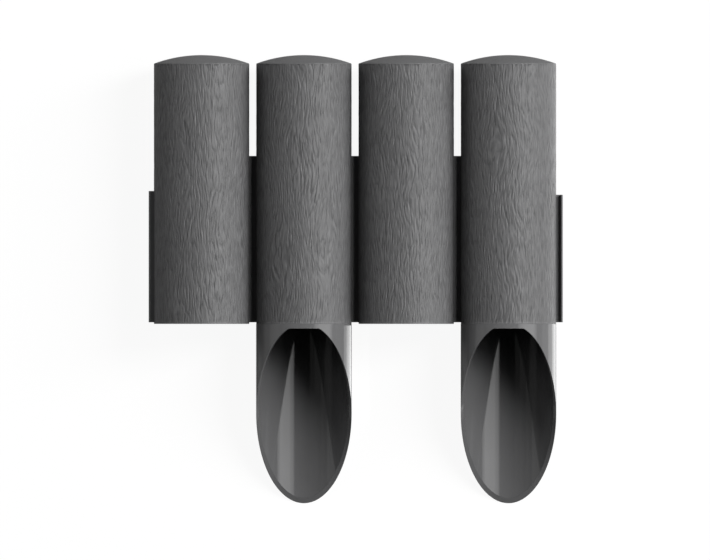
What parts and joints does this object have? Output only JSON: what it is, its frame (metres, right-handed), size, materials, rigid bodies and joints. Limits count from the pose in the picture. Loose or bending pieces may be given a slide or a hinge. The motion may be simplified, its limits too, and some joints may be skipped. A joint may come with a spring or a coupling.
{
  "type": "garden edging palisade",
  "caption": "Grey plastic garden edging palisade: round wood-grained posts joined by narrow webs, every second one ending in a slant-cut hollow stake, with slide-together end rails.",
  "frame": {"origin": "centre of the bounding box, at floor level; the moulding lies on its back on the floor", "axes": "+X along the row from the hook rail to the channel rail, +Y along the posts towards their domes, +Z from the back to the front of the row"},
  "size_m": [0.2328, 0.252, 0.0537],
  "materials": {
    "plastic": "satin"
  },
  "bodies": {
    "root": {"palisade": "plastic"}
  },
  "joints": []
}
